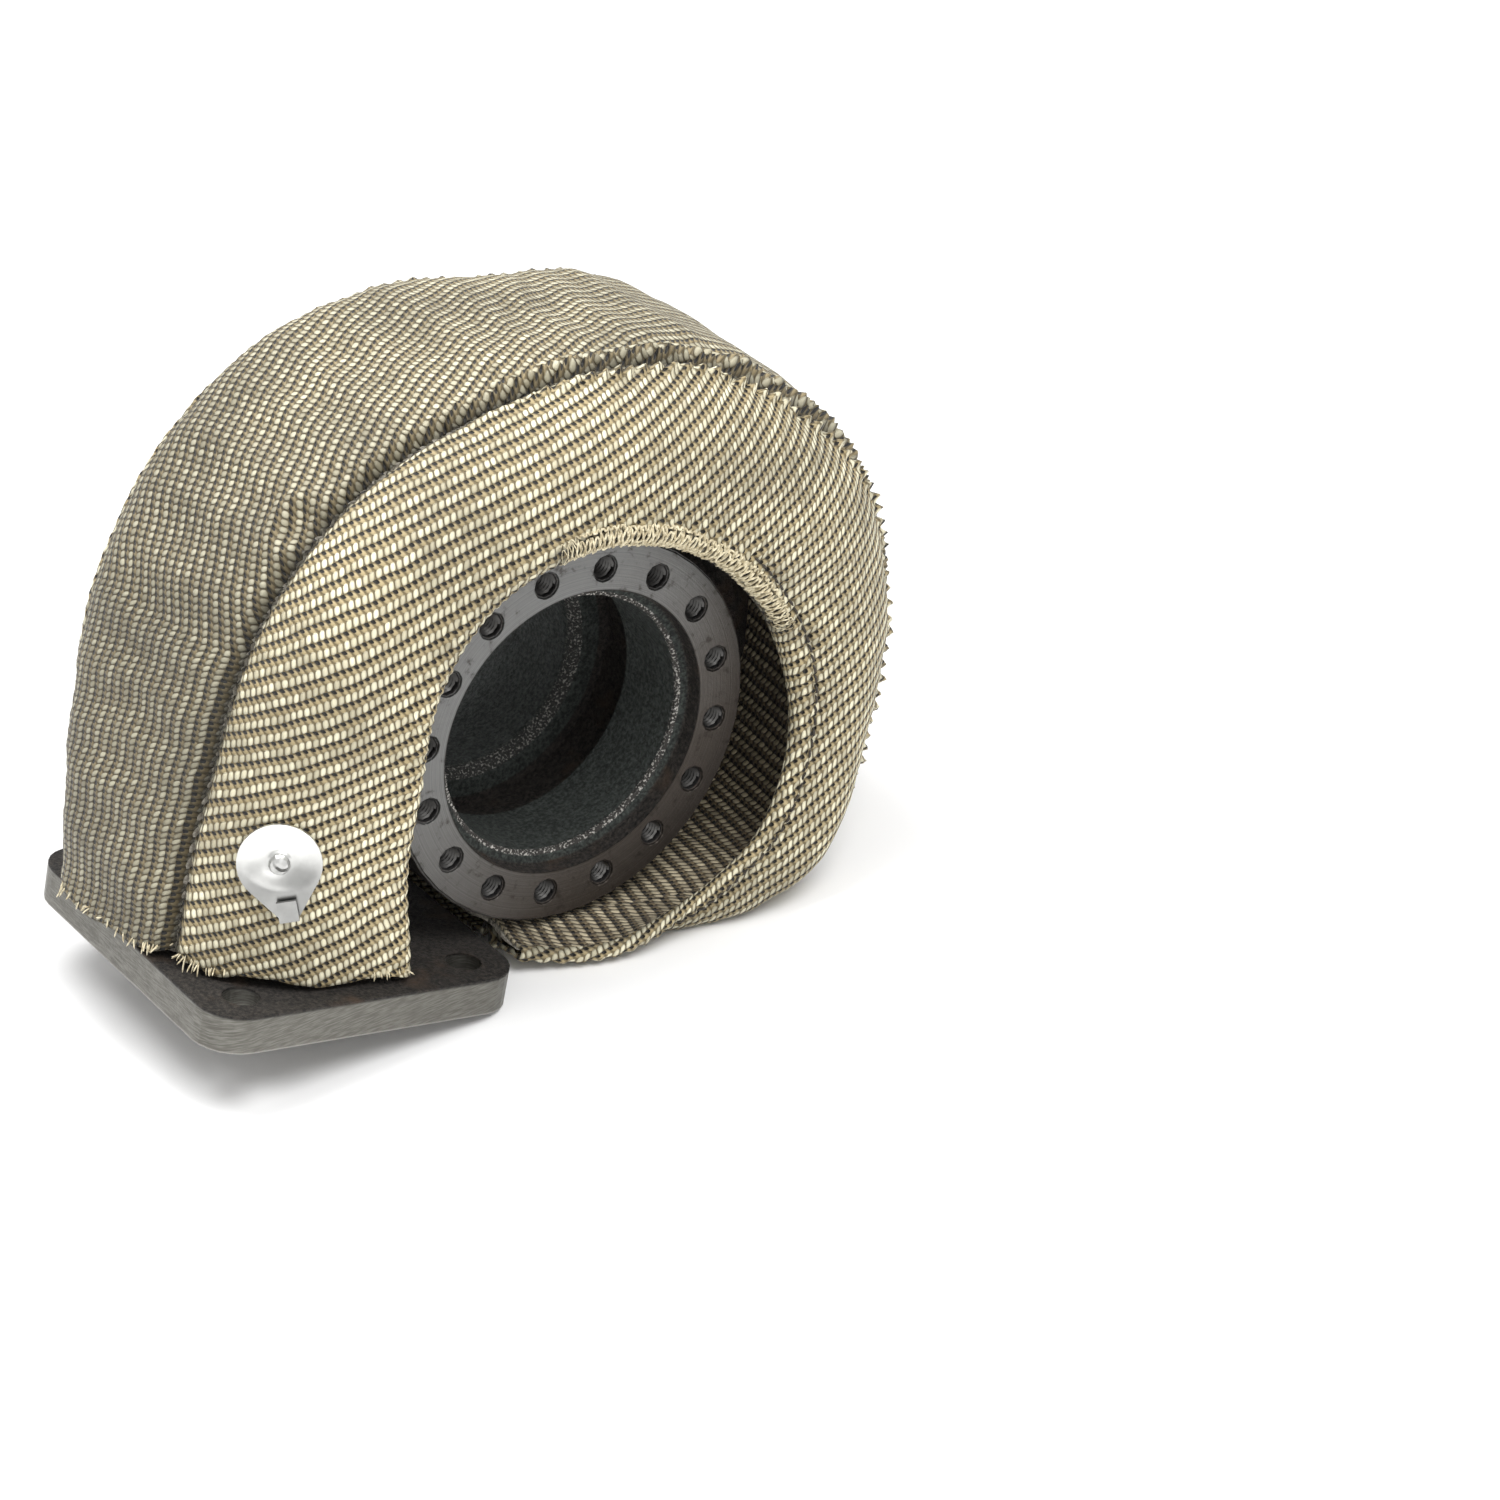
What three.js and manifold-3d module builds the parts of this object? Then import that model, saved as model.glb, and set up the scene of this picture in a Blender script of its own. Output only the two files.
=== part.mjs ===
import * as THREE from "three";
import { mergeVertices } from "three/addons/utils/BufferGeometryUtils.js";
import Module from "manifold-3d";

// A turbo heat blanket fitted on a cast turbine housing, in millimetres.
// Object frame: the turbine axis is Y, the ring face is the plane y = 0 and looks along -Y,
// +Z is square to the foot flange. The whole is tipped at the end into the pose it rests in.
const wasm = await Module();
wasm.setup();

// Resting pose
const restTilt = THREE.MathUtils.degToRad(13.6);

// Ring flange, with its tapped holes on the bolt circle
const ringRadius = 58.9;
const ringThickness = 14;
const boltEdge = 8.9;
const boltCircle = ringRadius - boltEdge;
const ringHoles = 16;
const tappedRadius = 3.4;
const tappedDepth = 11.5;
const tappedMouth = 4.3;
const mouthDepth = 0.9;

// Bore, from the ring face to the outlet
const registerLand = 6.5;
const registerRadius = boltCircle - registerLand;
const registerDepth = 5;
const boreRadius = 39.6;
const throatFront = 31;
const throatBack = 50;
const throatRadius = 46;
const shroudLip = 38;
const shroudRadius = 34;
const shroudRound = 5;
const outletFlare = 38.5;

// Outside of the barrel and the outlet
const barrelRadius = 51;
const barrelEnd = 88;
const outletTube = 45;
const outletRim = 52;
const outletRimThickness = 8;
const housingDepth = 118;

// Scroll of the housing
const castWall = 6;
const scrollInner = 43;
const squareness = 2.7;

// Foot flange and the port through it
const footMiddle = 33.5;
const footCentre = -67.2;
const footWidth = 99.3;
const footLength = 107;
const footThickness = 11;
const footTop = -63.9;
const footCorner = 12;
const footHoleRadius = 5.3;
const footHoleAcross = 36;
const footHoleAlong = 41.5;
const portWidth = 49;
const portLength = 50;

// Blanket sandwich
const outerCloth = 1.2;
const lining = 1;
const layerGap = 0.3;
const seamGap = 0.3;
const seamDip = 2.2;
const seamReach = 7;

// Ground under the resting part, below the turbine axis
const groundDrop = 68.7;

// The outside of the blanket at stations along its sweep: up the leg, then round the axis.
// turn: below 0 it is a height on the leg in mm, above 0 the angle gone round from the left.
// hem, seam, rearSeam, rearHem: distance outside the ring edge, and depth along Y. bulge and belly:
// how far the front panel and the band stand out of their chords.
const stations = [
  { turn: -62, hem: [-2.4, -14], seam: [55.6, 14], rearSeam: [59.6, 68], rearHem: [-2.9, 82], bulge: 10, belly: 5 },
  { turn: -30, hem: [3.6, -13.6], seam: [54.6, 14], rearSeam: [62.1, 72], rearHem: [2.1, 88], bulge: 9, belly: 5 },
  { turn: 0, hem: [4.3, -13.4], seam: [51.4, 14], rearSeam: [59.4, 77], rearHem: [4.1, 96], bulge: 9, belly: 4 },
  { turn: 45, hem: [10.4, -13.4], seam: [46.1, 15], rearSeam: [55.8, 84], rearHem: [7.1, 99], bulge: 7, belly: 3 },
  { turn: 67, hem: [10.1, -13.4], seam: [44.1, 14], rearSeam: [51.6, 87], rearHem: [7.1, 99], bulge: 6, belly: 3 },
  { turn: 90, hem: [9, -13.4], seam: [47.6, 12], rearSeam: [47.1, 88], rearHem: [7.1, 99], bulge: 6, belly: 4 },
  { turn: 105, hem: [8.1, -13.6], seam: [52.6, 8], rearSeam: [53.1, 86], rearHem: [7.1, 99], bulge: 6, belly: 5 },
  { turn: 120, hem: [8.1, -14], seam: [54.3, 4], rearSeam: [56.1, 86], rearHem: [7.1, 99], bulge: 7, belly: 4 },
  { turn: 135, hem: [8.6, -15], seam: [56.1, 0], rearSeam: [57.6, 85], rearHem: [7.1, 98], bulge: 8, belly: 5 },
  { turn: 150, hem: [10.1, -16], seam: [54.8, -1], rearSeam: [55.1, 84], rearHem: [7.1, 98], bulge: 8, belly: 6 },
  { turn: 180, hem: [12.1, -18], seam: [43.6, -9], rearSeam: [44.1, 82], rearHem: [7.1, 97], bulge: 8, belly: 3 },
  { turn: 205, hem: [10.1, -21], seam: [39.1, -10], rearSeam: [36.1, 80], rearHem: [5.1, 96], bulge: 10, belly: 1 },
  { turn: 220, hem: [6.1, -22], seam: [26.6, -10], rearSeam: [25.1, 80], rearHem: [4.1, 94], bulge: 8.5, belly: 0 },
  { turn: 238, hem: [6.1, -20.6], seam: [14.2, -4], rearSeam: [14.1, 80], rearHem: [4.1, 92], bulge: 3.5, belly: 0 },
  { turn: 256, hem: [8.1, -16], seam: [9.8, 5], rearSeam: [9.8, 76], rearHem: [7.1, 92], bulge: 0.4, belly: 0 },
  { turn: 278, hem: [10.6, -4], seam: [11.6, 12], rearSeam: [11.6, 76], rearHem: [9.1, 92], bulge: 0.3, belly: 0 },
];

// The sandwich at the same turns: its thickness, and what is left of it at the stitched hems
const thicknessStations = [
  { turn: -62, full: 11.5, edge: 10 },
  { turn: -20, full: 12.8, edge: 11 },
  { turn: 150, full: 12.8, edge: 11 },
  { turn: 190, full: 9.5, edge: 7 },
  { turn: 215, full: 6.5, edge: 5 },
  { turn: 240, full: 6.5, edge: 5 },
  { turn: 278, full: 8, edge: 5 },
];

// Scroll at turns of its own: outer is its distance outside the ring edge, inner from the axis
const scrollStations = [
  { turn: -62, outer: 38.8, inner: 36.7, half: 31, middle: footMiddle },
  { turn: 0, outer: 40.6, inner: scrollInner, half: 31, middle: 42 },
  { turn: 90, outer: 32.2, inner: scrollInner, half: 30, middle: 44 },
  { turn: 180, outer: 20.1, inner: scrollInner, half: 25, middle: 42 },
  { turn: 250, outer: -3.9, inner: scrollInner, half: 15, middle: 42 },
];
const passageEnd = 225;

// Lacing hooks: a disc with a folded tab, held by a rivet and a backing washer
const discRadius = 11.5;
const discThickness = 1;
const discPoint = 18;
const tabWidth = 5.4;
const tabLength = 6;
const shankRadius = 2;
const shankClearance = 0.3;
const rivetHead = 3;
const rivetDome = 1.6;
const washerRadius = 5.5;
const washerSeat = 1.3;
const washerThickness = 0.8;
const hookTurn = -26;
const hookAcross = 0.19;
const hookSpin = THREE.MathUtils.degToRad(18);

// Steps round the turned faces, and the grid of each blanket panel
const roundSteps = 44;
const noseSteps = 5;
const noseSweep = 166;
const frontSteps = 5;
const bandSteps = 6;
const sweepSteps = 29;

const materials = {
  iron: { color: 0x3a3633, metalness: 0.7, roughness: 0.6 },
  cloth: { color: 0xb7a27d, metalness: 0.1, roughness: 0.85 },
  mat: { color: 0xe9e6dc, metalness: 0, roughness: 1 },
  lining: { color: 0x8f8268, metalness: 0.1, roughness: 0.9 },
  steel: { color: 0xc9ccd0, metalness: 1, roughness: 0.25 },
};

// Smooth value through stations placed along the sweep
const along = (turn) => (turn < 0 ? turn : turn * 1.8);

function smooth(list, turn, pick) {
  const x = along(turn);
  const knots = list.map((s) => along(s.turn));
  const values = list.map(pick);
  const last = knots.length - 1;
  let i = 0;
  while (i < last - 1 && x > knots[i + 1]) i += 1;
  const slope = (k) => {
    if (k === 0) return (values[1] - values[0]) / (knots[1] - knots[0]);
    if (k === last) return (values[last] - values[last - 1]) / (knots[last] - knots[last - 1]);
    return (values[k + 1] - values[k - 1]) / (knots[k + 1] - knots[k - 1]);
  };
  const step = knots[i + 1] - knots[i];
  const u = (x - knots[i]) / step;
  const rise = values[i + 1] - values[i];
  const a = slope(i) * step - rise;
  const b = rise - slope(i + 1) * step;
  return values[i] + u * rise + u * (1 - u) * (a * (1 - u) + b * u);
}

// From a radius and a depth at a turn to a point of the object frame
function place(turn, radius, depth) {
  const angle = Math.PI - THREE.MathUtils.degToRad(Math.max(turn, 0));
  return new THREE.Vector3(
    radius * Math.cos(angle), depth, radius * Math.sin(angle) + Math.min(turn, 0));
}

// The outside of the blanket, at a turn and at a share from the front hem to the rear hem
function outsideSection(turn) {
  const value = (pick) => smooth(stations, turn, pick);
  const point = (name) => new THREE.Vector2(ringRadius + value((s) => s[name][0]), value((s) => s[name][1]));
  const hem = point("hem");
  const seam = point("seam");
  const rearSeam = point("rearSeam");
  const rear = point("rearHem");
  const bulge = value((s) => s.bulge);
  const out = (a, b, rise) => {
    const chord = b.clone().sub(a);
    const side = new THREE.Vector2(chord.y, -chord.x).normalize();
    return a.clone().addScaledVector(chord, 0.5).addScaledVector(side, rise);
  };
  return [hem, out(hem, seam, bulge), seam, out(seam, rearSeam, value((s) => s.belly)), rearSeam,
    out(rearSeam, rear, bulge * 0.6), rear].map((p) => new THREE.Vector3(p.x, p.y, 0));
}

const sections = new Map();

function outside(turn, share) {
  if (!sections.has(turn))
    sections.set(turn, new THREE.CatmullRomCurve3(outsideSection(turn), false, "centripetal"));
  const p = sections.get(turn).getPoint(THREE.MathUtils.clamp(share, 0, 1));
  const q = place(turn, p.x, p.y);
  const below = -q.x * Math.sin(restTilt) + q.z * Math.cos(restTilt) + groundDrop;
  const lift = Math.max(0, -below);
  q.x -= lift * Math.sin(restTilt);
  q.z += lift * Math.cos(restTilt);
  return q;
}

function frameAt(turn, share) {
  const here = outside(turn, share);
  const d = 0.06;
  const across = outside(turn, Math.min(share + d, 1)).sub(outside(turn, Math.max(share - d, 0)));
  const e = 0.5;
  const firstTurn = stations[0].turn;
  const lastTurn = stations[stations.length - 1].turn;
  const sweep = outside(Math.min(turn + e, lastTurn), share)
    .sub(outside(Math.max(turn - e, firstTurn), share));
  across.normalize();
  const normal = new THREE.Vector3().crossVectors(sweep, across).normalize();
  return { here, across, normal };
}

// A closed sheet between two grids of the same size, or a closed loft when the rows are rings
function solidOf(points, faces) {
  const geometry = new THREE.BufferGeometry();
  geometry.setAttribute("position",
    new THREE.Float32BufferAttribute(points.flatMap((p) => [p.x, p.y, p.z]), 3));
  geometry.setIndex(faces.flat());
  return manifoldOf(geometry);
}

function manifoldOf(geometry) {
  const plain = new THREE.BufferGeometry();
  plain.setAttribute("position", geometry.getAttribute("position"));
  if (geometry.index) plain.setIndex(geometry.index);
  const merged = mergeVertices(plain, 1e-4);
  const vertProperties = new Float32Array(merged.getAttribute("position").array);
  const triVerts = new Uint32Array(merged.index.array);
  const made = new wasm.Manifold(new wasm.Mesh({ numProp: 3, vertProperties, triVerts }));
  if (made.volume() > 0) return made;
  for (let i = 0; i < triVerts.length; i += 3)
    [triVerts[i + 1], triVerts[i + 2]] = [triVerts[i + 2], triVerts[i + 1]];
  return new wasm.Manifold(new wasm.Mesh({ numProp: 3, vertProperties, triVerts }));
}

function sheet(outer, inner) {
  const rows = outer.length;
  const columns = outer[0].length;
  const points = [...outer.flat(), ...inner.flat()];
  const top = (i, j) => i * columns + j;
  const low = (i, j) => rows * columns + i * columns + j;
  const faces = [];
  const quad = (a, b, c, d) => faces.push([a, b, c], [a, c, d]);
  for (let i = 0; i + 1 < rows; i += 1)
    for (let j = 0; j + 1 < columns; j += 1) {
      quad(top(i, j), top(i + 1, j), top(i + 1, j + 1), top(i, j + 1));
      quad(low(i, j), low(i, j + 1), low(i + 1, j + 1), low(i + 1, j));
    }
  for (let i = 0; i + 1 < rows; i += 1) {
    quad(top(i, 0), low(i, 0), low(i + 1, 0), top(i + 1, 0));
    quad(top(i, columns - 1), top(i + 1, columns - 1), low(i + 1, columns - 1), low(i, columns - 1));
  }
  for (let j = 0; j + 1 < columns; j += 1) {
    quad(top(0, j), top(0, j + 1), low(0, j + 1), low(0, j));
    quad(top(rows - 1, j), low(rows - 1, j), low(rows - 1, j + 1), top(rows - 1, j + 1));
  }
  return solidOf(points, faces);
}

function loft(rings) {
  const count = rings[0].length;
  const points = rings.flat();
  const faces = [];
  for (let i = 0; i + 1 < rings.length; i += 1)
    for (let j = 0; j < count; j += 1) {
      const k = (j + 1) % count;
      const a = i * count;
      const b = (i + 1) * count;
      faces.push([a + j, a + k, b + k], [a + j, b + k, b + j]);
    }
  const last = (rings.length - 1) * count;
  for (let j = 1; j + 1 < count; j += 1)
    faces.push([0, j + 1, j], [last, last + j, last + j + 1]);
  return solidOf(points, faces);
}

// A body of revolution round the turbine axis, or round Z when turned
function turned(outline, segments) {
  const closed = [...outline, outline[0]].map(([r, y]) => new THREE.Vector2(r, y));
  return manifoldOf(new THREE.LatheGeometry(closed, segments));
}

function moved(solid, matrix) {
  return solid.transform(matrix.elements);
}

// The turbine housing: ring flange, barrel, scroll, neck and foot flange in one casting
function scrollRing(turn, shrink) {
  const value = (name) => smooth(scrollStations, turn, (s) => s[name]);
  const outer = ringRadius + value("outer") - shrink;
  const inner = value("inner") + shrink;
  const half = value("half") - shrink;
  const centre = (outer + inner) / 2;
  const reach = Math.max((outer - inner) / 2, 0.5);
  const ring = [];
  const count = 14;
  for (let j = 0; j < count; j += 1) {
    const t = (j / count) * 2 * Math.PI;
    const bend = (v) => Math.sign(v) * Math.abs(v) ** (2 / squareness);
    ring.push(place(turn, centre + reach * bend(Math.cos(t)), value("middle") + half * bend(Math.sin(t))));
  }
  return ring;
}

function scroll(from, to, steps, shrink) {
  const rings = [];
  for (let i = 0; i <= steps; i += 1) rings.push(scrollRing(from + ((to - from) * i) / steps, shrink));
  return rings;
}

function roundedPlate(width, length, thickness, corner, steps) {
  const outline = [];
  const x = width / 2 - corner;
  const y = length / 2 - corner;
  [[x, y, 0], [-x, y, 90], [-x, -y, 180], [x, -y, 270]].forEach(([cx, cy, start]) => {
    for (let i = 0; i <= steps; i += 1) {
      const a = THREE.MathUtils.degToRad(start + (90 * i) / steps);
      outline.push(new THREE.Vector2(cx + corner * Math.cos(a), cy + corner * Math.sin(a)));
    }
  });
  const shape = new THREE.Shape(outline);
  return manifoldOf(new THREE.ExtrudeGeometry(shape, { depth: thickness, bevelEnabled: false }));
}

function housing() {
  const ringEdge = 0.8;
  const barrel = turned([
    [0, 0], [ringRadius - ringEdge, 0], [ringRadius, ringEdge], [ringRadius, ringThickness - ringEdge],
    [ringRadius - ringEdge, ringThickness], [barrelRadius + 2, ringThickness],
    [barrelRadius, ringThickness + 2], [barrelRadius, barrelEnd - 6], [outletTube, barrelEnd],
    [outletTube, housingDepth - outletRimThickness - 5], [outletRim, housingDepth - outletRimThickness],
    [outletRim, housingDepth], [0, housingDepth]], roundSteps);
  const foot = moved(roundedPlate(footWidth, footLength, footThickness, footCorner, 6),
    new THREE.Matrix4().makeTranslation(footCentre, footMiddle, footTop - footThickness));
  const legTo = 0;
  const first = footTop - 0.5;
  const body = loft([
    ...scroll(first, legTo, 4, 0),
    ...scroll(12, 250, 18, 0)]);
  const passage = loft([
    ...scroll(first - footThickness - 1, legTo, 4, castWall),
    ...scroll(12, passageEnd, 15, castWall)]);
  const port = moved(roundedPlate(portWidth, portLength, footThickness + 2, 9, 5),
    new THREE.Matrix4().makeTranslation(footCentre, footMiddle, footTop - footThickness - 1));
  const bore = turned([
    [0, -1], [registerRadius, -1], [registerRadius, registerDepth],
    [boreRadius, registerDepth + 1.2], [boreRadius, throatFront], [throatRadius, throatFront],
    [throatRadius, throatBack], [shroudLip, throatBack],
    [shroudRadius + 1.2, throatBack + shroudRound * 0.4], [shroudRadius, throatBack + shroudRound],
    [shroudRadius, barrelEnd - 8], [outletFlare, housingDepth + 1], [0, housingDepth + 1]], roundSteps);
  let made = barrel.add(body).add(foot).subtract(passage).subtract(port).subtract(bore);
  for (let i = 0; i < ringHoles; i += 1) {
    const angle = (i / ringHoles) * 2 * Math.PI;
    const hole = turned([[0, -1], [tappedMouth, -1], [tappedMouth, 0], [tappedRadius, mouthDepth],
      [tappedRadius, tappedDepth], [0, tappedDepth + 1.8]], 10);
    made = made.subtract(moved(hole, new THREE.Matrix4().makeTranslation(
      boltCircle * Math.cos(angle), 0, boltCircle * Math.sin(angle))));
  }
  [-1, 1].forEach((a) => [-1, 1].forEach((b) => {
    const hole = new THREE.CylinderGeometry(footHoleRadius, footHoleRadius, footThickness * 3, 24);
    hole.rotateX(Math.PI / 2);
    hole.translate(footCentre + a * footHoleAcross, footMiddle + b * footHoleAlong,
      footTop - footThickness / 2);
    made = made.subtract(manifoldOf(hole));
  }));
  return made;
}

// Blanket layers, each between two levels of the sandwich
const frontEnd = 2 / 6;
const bandEnd = 4 / 6;
// The mat's nose is a little smaller than the hem round it, to clear the hem's facets
const matNose = 0.84;

// How far from the outside a level lies, with the pinch along both stitched seams
function levelPoint(turn, share, depthIn) {
  const seam = [frontEnd, bandEnd].find((s) => Math.abs(share - s) < seamShare * 1.5);
  const f = frameAt(turn, seam ?? share);
  const side = seam === undefined ? 0 : Math.sign(share - seam) * seamGap / 2;
  return f.here.clone().addScaledVector(f.across, side).addScaledVector(f.normal, -depthIn);
}

function pinch(turn, share) {
  const near = (seam) => {
    const gap = outside(turn, share).distanceTo(outside(turn, seam));
    return seamDip * Math.exp(-((gap / seamReach) ** 2));
  };
  return near(frontEnd) + near(bandEnd);
}

function thickAt(turn, share) {
  const full = smooth(thicknessStations, turn, (s) => s.full);
  const edge = smooth(thicknessStations, turn, (s) => s.edge);
  const inward = Math.min(share, 1 - share) / (frontEnd * 0.9);
  return THREE.MathUtils.lerp(edge, full, THREE.MathUtils.smoothstep(inward, 0, 1));
}

// Points round the rolled hem, from the outside (90) to the inside (-90 degrees)
function hemPoint(turn, share, radius, degrees) {
  const f = frameAt(turn, share);
  const centre = f.here.clone().addScaledVector(f.normal, -thickAt(turn, share) / 2);
  const a = THREE.MathUtils.degToRad(degrees);
  const away = share === 0 ? -1 : 1;
  return centre.addScaledVector(f.across, away * radius * Math.cos(a))
    .addScaledVector(f.normal, radius * Math.sin(a));
}

function shares(panel) {
  const list = [];
  const [from, to, steps] = panel;
  for (let j = 0; j <= steps; j += 1) list.push(from + ((to - from) * j) / steps);
  return list;
}

// Half the seam gap as a share of the outline there
const seamShare = seamGap / 2 / 160;
const panels = {
  front: [0, frontEnd - seamShare, frontSteps],
  band: [frontEnd + seamShare, bandEnd - seamShare, bandSteps],
  rear: [bandEnd + seamShare, 1, frontSteps],
};

function turns() {
  const first = stations[0].turn;
  const list = [];
  const legSteps = 5;
  for (let i = 0; i < legSteps; i += 1) list.push(first - (first * i) / legSteps);
  const lastTurn = stations[stations.length - 1].turn;
  const rest = sweepSteps - legSteps;
  for (let i = 0; i <= rest; i += 1) list.push((lastTurn * i) / rest);
  return list;
}

function clothLayer(name) {
  const at = shares(panels[name]);
  const build = (turn, skin) => {
    const inset = skin ? outerCloth : 0;
    const row = at.map((s) => levelPoint(turn, s, pinch(turn, s) + inset));
    const nose = (share) => {
      const radius = thickAt(turn, share) / 2 - inset;
      const list = [];
      for (let k = 1; k <= noseSteps; k += 1) list.push(hemPoint(turn, share, radius, 90 - (noseSweep * k) / noseSteps));
      return list;
    };
    if (name === "front") return [...nose(0).reverse(), ...row];
    if (name === "rear") return [...row, ...nose(1)];
    return row;
  };
  return sheet(turns().map((t) => build(t, false)), turns().map((t) => build(t, true)));
}

function matLayer(name) {
  const at = shares(panels[name]);
  const top = outerCloth + layerGap;
  const low = lining + layerGap;
  const build = (turn, upper) => {
    const row = at.map((s) => {
      const depth = upper ? pinch(turn, s) + top : thickAt(turn, s) - low;
      return levelPoint(turn, s, depth);
    });
    const nose = (share) => {
      const radius = (thickAt(turn, share) / 2 - (upper ? top : low)) * matNose;
      const side = upper ? 1 : -1;
      return [55, 15].map((a) => hemPoint(turn, share, radius, side * a));
    };
    if (name === "front") return [...nose(0).reverse(), ...row];
    if (name === "rear") return [...row, ...nose(1)];
    return row;
  };
  return sheet(turns().map((t) => build(t, true)), turns().map((t) => build(t, false)));
}

function liningLayer(name) {
  const at = shares(panels[name]);
  const build = (turn, upper) => at.map((s) => levelPoint(turn, s, thickAt(turn, s) - (upper ? lining : 0)));
  return sheet(turns().map((t) => build(t, true)), turns().map((t) => build(t, false)));
}

// Lacing hooks
function hookMatrix(share) {
  const f = frameAt(hookTurn, share);
  const z = f.normal.clone();
  const down = new THREE.Vector3(0, 0, -1);
  const x = down.clone().addScaledVector(z, -down.dot(z)).normalize();
  const y = new THREE.Vector3().crossVectors(z, x);
  const matrix = new THREE.Matrix4().makeBasis(x, y, z);
  matrix.setPosition(f.here);
  return matrix.multiply(new THREE.Matrix4().makeRotationZ(share < 0.5 ? hookSpin : -hookSpin));
}

function disc() {
  const meet = Math.acos(discRadius / discPoint);
  const tab = tabWidth / 2;
  const neck = discPoint - (tab * Math.sin(Math.PI / 2 - meet)) / Math.cos(Math.PI / 2 - meet) * 0.98;
  const shape = new THREE.Shape();
  shape.absarc(0, 0, discRadius, meet, 2 * Math.PI - meet, false);
  shape.lineTo(neck, -tab);
  shape.lineTo(neck, tab);
  shape.closePath();
  const hole = new THREE.Path();
  hole.absarc(0, 0, shankRadius + shankClearance, 0, 2 * Math.PI, true);
  shape.holes.push(hole);
  const plate = manifoldOf(new THREE.ExtrudeGeometry(shape,
    { depth: discThickness, bevelEnabled: false, curveSegments: 12 }));
  const bend = new THREE.BoxGeometry(discThickness, tabWidth, discThickness * 3);
  bend.translate(neck, 0, discThickness * 1.5);
  const fold = new THREE.BoxGeometry(tabLength, tabWidth, discThickness);
  fold.translate(neck - tabLength / 2 + discThickness / 2, 0, discThickness * 2.5);
  return plate.add(manifoldOf(bend)).add(manifoldOf(fold));
}

function rivet(length) {
  const top = discThickness + layerGap;
  return turned([[0, -length], [shankRadius, -length], [shankRadius, top], [rivetHead, top],
    [rivetHead * 0.8, top + rivetDome * 0.7], [rivetHead * 0.4, top + rivetDome], [0, top + rivetDome]], 14);
}

function washer() {
  const hole = shankRadius + shankClearance;
  return turned([[hole, 0], [washerRadius, 0], [washerRadius, washerThickness], [hole, washerThickness]], 16);
}

const uprightLathe = new THREE.Matrix4().makeRotationX(Math.PI / 2);
const pieces = [];

function add(name, solid, look) {
  pieces.push({ name, solid, look });
}

const hooks = [["front", hookAcross, layerGap], ["rear", 1 - hookAcross, layerGap * 3]];
const thickness = thickAt(hookTurn, hookAcross);

function drilled(solid, panel) {
  const hook = hooks.find(([name]) => name === panel);
  if (!hook) return solid;
  const cut = turned([[0, -30], [shankRadius + shankClearance, -30], [shankRadius + shankClearance, 30], [0, 30]], 14);
  return solid.subtract(moved(moved(cut, uprightLathe), hookMatrix(hook[1])));
}

add("turbine_housing", housing(), "iron");
Object.keys(panels).forEach((name) => {
  add(`outer_cloth_${name}`, drilled(clothLayer(name), name), "cloth");
  add(`insulation_mat_${name}`, drilled(matLayer(name), name), "mat");
  add(`inner_lining_${name}`, drilled(liningLayer(name), name), "lining");
});
hooks.forEach(([name, share, lift]) => {
  const base = hookMatrix(share);
  const up = (height) => base.clone().multiply(new THREE.Matrix4().makeTranslation(0, 0, height));
  const inside = -thickness - washerSeat - washerThickness;
  add(`lacing_hook_${name}`, moved(disc(), up(lift)), "steel");
  add(`rivet_${name}`, moved(moved(rivet(thickness + lift + washerSeat + washerThickness + 0.5), uprightLathe),
    up(lift)), "steel");
  add(`backing_washer_${name}`, moved(moved(washer(), uprightLathe), up(inside)), "steel");
});

function meshOf({ name, solid, look }) {
  const made = solid.getMesh();
  const geometry = new THREE.BufferGeometry();
  const flat = new Float32Array(made.numVert * 3);
  for (let i = 0; i < made.numVert; i += 1)
    flat.set(made.vertProperties.subarray(i * made.numProp, i * made.numProp + 3), i * 3);
  geometry.setAttribute("position", new THREE.BufferAttribute(flat, 3));
  geometry.setIndex(new THREE.BufferAttribute(new Uint32Array(made.triVerts), 1));
  geometry.computeVertexNormals();
  const mesh = new THREE.Mesh(geometry, new THREE.MeshStandardMaterial(materials[look]));
  mesh.name = name;
  return mesh;
}

const part = new THREE.Group();
part.name = "turbo_heat_blanket";
pieces.forEach((piece) => part.add(meshOf(piece)));
part.rotation.y = restTilt;
part.updateMatrixWorld(true);

// The origin is the middle of the bounding box at the ground
const box = new THREE.Box3().setFromObject(part, true);
part.position.set(-(box.min.x + box.max.x) / 2, -(box.min.y + box.max.y) / 2, -box.min.z);
part.updateMatrixWorld(true);

export default part;
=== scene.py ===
import math

import bpy
import numpy as np
from mathutils import Matrix, Vector


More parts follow.
